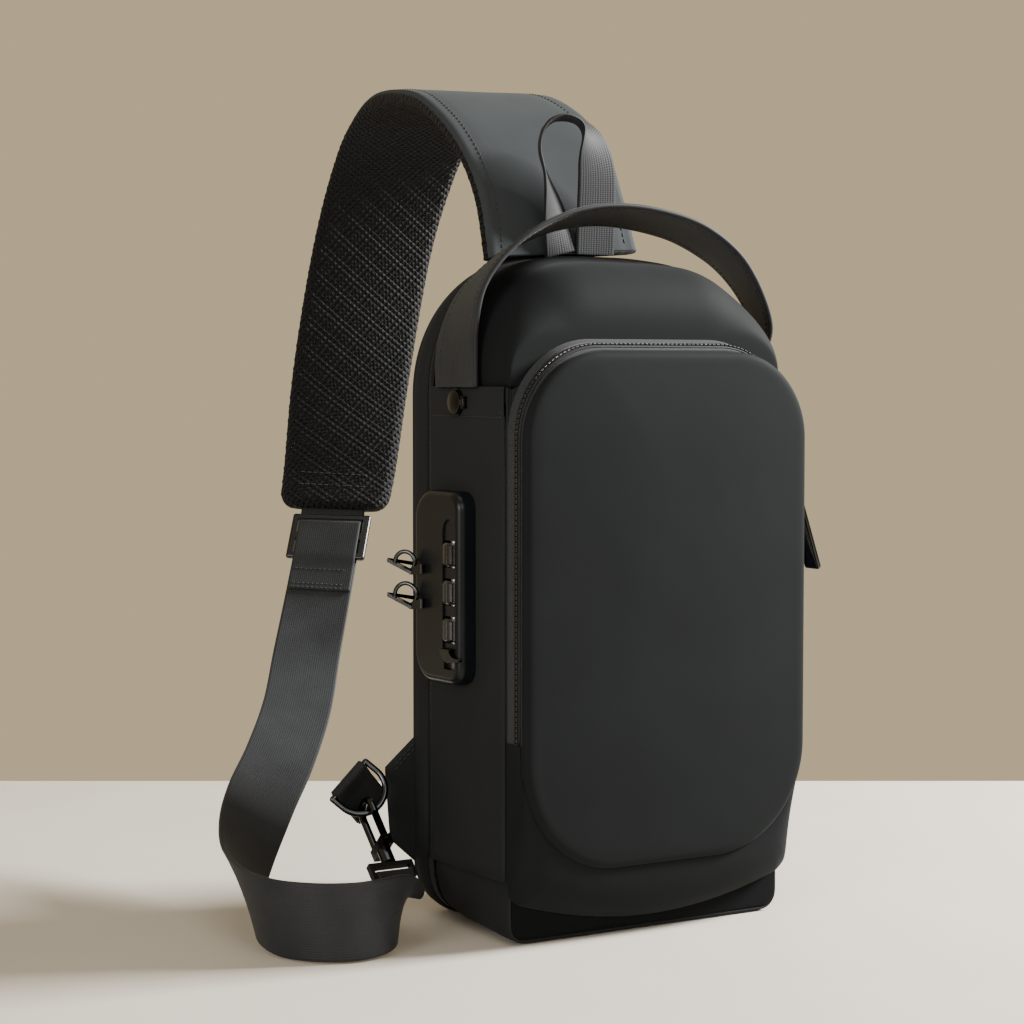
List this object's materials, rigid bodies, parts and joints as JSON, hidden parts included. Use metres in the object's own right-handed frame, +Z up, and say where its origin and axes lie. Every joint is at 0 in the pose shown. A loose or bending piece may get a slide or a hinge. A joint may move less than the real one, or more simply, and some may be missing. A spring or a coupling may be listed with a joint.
{
  "type": "sling bag",
  "caption": "Upright one-strap sling bag with a zipped front pocket, side combination lock, top handle, and a padded strap clipped to a side ring.",
  "frame": {"origin": "middle of the base, on the floor, with the bag standing upright", "axes": "+Z up; -Y is the front with the zipped pocket; +X is to the right seen from the front, and the lock is on the -X side"},
  "size_m": [0.3319, 0.3344, 0.4388],
  "materials": {
    "shell_fabric": "matt coated woven cloth",
    "pocket_side_cloth": "matt coated woven cloth",
    "air_mesh": "open spacer mesh",
    "webbing": "ribbed woven webbing",
    "webbing_black": "ribbed woven webbing",
    "zip_tape": "woven tape with coil teeth",
    "port_rubber": "smooth",
    "lock_plastic": "fine texture with glossy edges",
    "buckle_plastic": "satin",
    "steel": "brushed",
    "gunmetal": "black nickel, glossy"
  },
  "bodies": {
    "bag": {"adjuster": "buckle_plastic", "back_pad_lower": "air_mesh", "back_pad_upper": "air_mesh", "back_panel": "shell_fabric", "back_rim": "shell_fabric", "base_band": "shell_fabric", "base_panel": "shell_fabric", "carry_handle": "webbing", "chin_panel": "shell_fabric", "dial_spindle": "steel", "front_wall": "shell_fabric", "hang_loop": "webbing", "left_gusset": "shell_fabric", "lock_base_plate": "lock_plastic", "lock_case": "lock_plastic", "main_slider_lower": "gunmetal", "main_slider_upper": "gunmetal", "main_zip_tape": "zip_tape", "main_zip_teeth": "zip_tape", "pocket_cover": "shell_fabric", "pocket_side_wall": "pocket_side_cloth", "pocket_zip_tape": "zip_tape", "pocket_zip_teeth": "zip_tape", "right_gusset": "shell_fabric", "ring_tab_left": "webbing_black", "ring_tab_right": "webbing_black", "side_pocket_hem": "shell_fabric", "side_pocket_panel": "shell_fabric", "snap_hook_eye": "buckle_plastic", "strap_end_fold": "webbing_black", "strap_mesh": "air_mesh", "strap_pad": "shell_fabric", "strap_tongue": "webbing", "strap_webbing": "webbing", "top_gusset": "shell_fabric", "usb_port_housing": "port_rubber", "wing_tab_left": "shell_fabric", "wing_tab_right": "shell_fabric"},
    "dial_1": {"dial_1": "lock_plastic"},
    "dial_2": {"dial_2": "lock_plastic"},
    "dial_3": {"dial_3": "lock_plastic"},
    "release": {"release_lever": "gunmetal", "latch_plate": "steel"},
    "usb_cap": {"usb_port_cap": "port_rubber"},
    "main_puller_upper": {"main_puller_upper": "gunmetal"},
    "main_puller_lower": {"main_puller_lower": "gunmetal"},
    "pocket_slider_upper": {"pocket_slider_upper": "gunmetal"},
    "pocket_slider_lower": {"pocket_slider_lower": "gunmetal"},
    "pocket_puller_upper": {"pocket_puller_upper": "gunmetal"},
    "pocket_puller_lower": {"pocket_puller_lower": "gunmetal"},
    "d_ring_right": {"d_ring_right": "gunmetal"},
    "d_ring_left": {"d_ring_left": "gunmetal"},
    "snap_hook": {"snap_hook_body": "gunmetal"},
    "snap_hook_gate": {"snap_hook_gate": "gunmetal"}
  },
  "joints": [
    {"name": "dial_1_spin", "type": "hinge", "parent": "bag", "child": "dial_1", "pos_m": [-0.0916, -0.011, 0.191], "axis": [0, 0, 1], "continuous": true},
    {"name": "dial_2_spin", "type": "hinge", "parent": "bag", "child": "dial_2", "pos_m": [-0.0916, -0.011, 0.1722], "axis": [0, 0, 1], "continuous": true},
    {"name": "dial_3_spin", "type": "hinge", "parent": "bag", "child": "dial_3", "pos_m": [-0.0916, -0.011, 0.1534], "axis": [0, 0, 1], "continuous": true},
    {"name": "release_press", "type": "slide", "parent": "bag", "child": "release", "axis": [0, 0, -1], "range_m": [0, 0.004], "stiffness_N_per_m": 250, "springref_m": -0.002},
    {"name": "usb_cap_hinge", "type": "hinge", "parent": "bag", "child": "usb_cap", "pos_m": [-0.0872, -0.0122, 0.266], "axis": [0, 0, 1], "range_deg": [0, 120]},
    {"name": "main_puller_upper_swing", "type": "hinge", "parent": "bag", "child": "main_puller_upper", "pos_m": [-0.088, 0.0319, 0.185], "axis": [0, 0, -1], "range_deg": [0, 85]},
    {"name": "main_puller_lower_swing", "type": "hinge", "parent": "bag", "child": "main_puller_lower", "pos_m": [-0.088, 0.0319, 0.1675], "axis": [0, 0, -1], "range_deg": [0, 85]},
    {"name": "pocket_slider_upper_travel", "type": "slide", "parent": "bag", "child": "pocket_slider_upper", "axis": [0, 0, 1], "range_m": [0, 0.024]},
    {"name": "pocket_slider_lower_travel", "type": "slide", "parent": "bag", "child": "pocket_slider_lower", "axis": [0, 0, 1], "range_m": [-0.08, 0]},
    {"name": "pocket_puller_upper_swing", "type": "hinge", "parent": "pocket_slider_upper", "child": "pocket_puller_upper", "pos_m": [0.08665, -0.0547, 0.219], "axis": [0, -1, 0], "range_deg": [0, 120]},
    {"name": "pocket_puller_lower_swing", "type": "hinge", "parent": "pocket_slider_lower", "child": "pocket_puller_lower", "pos_m": [0.08665, -0.0547, 0.199], "axis": [0, -1, 0], "range_deg": [0, 12]},
    {"name": "d_ring_right_swing", "type": "hinge", "parent": "bag", "child": "d_ring_right", "pos_m": [0.116, 0.0442, 0.059], "axis": [0, 0, 1], "range_deg": [-110, 110]},
    {"name": "d_ring_left_swing", "type": "hinge", "parent": "bag", "child": "d_ring_left", "pos_m": [-0.122, 0.044, 0.073], "axis": [0.7302, 0, 0.6832], "range_deg": [-3, 2]},
    {"name": "snap_hook_swivel", "type": "hinge", "parent": "bag", "child": "snap_hook", "pos_m": [-0.117, 0.008, 0.0323], "axis": [0, 0.7071, 0.7071], "range_deg": [-20, 12]},
    {"name": "snap_hook_gate_press", "type": "hinge", "parent": "snap_hook", "child": "snap_hook_gate", "pos_m": [-0.117, 0.01528, 0.04807], "axis": [-1, 0, 0], "range_deg": [0, 18], "stiffness_Nm_per_rad": 0.02, "springref_deg": -17.19}
  ]
}
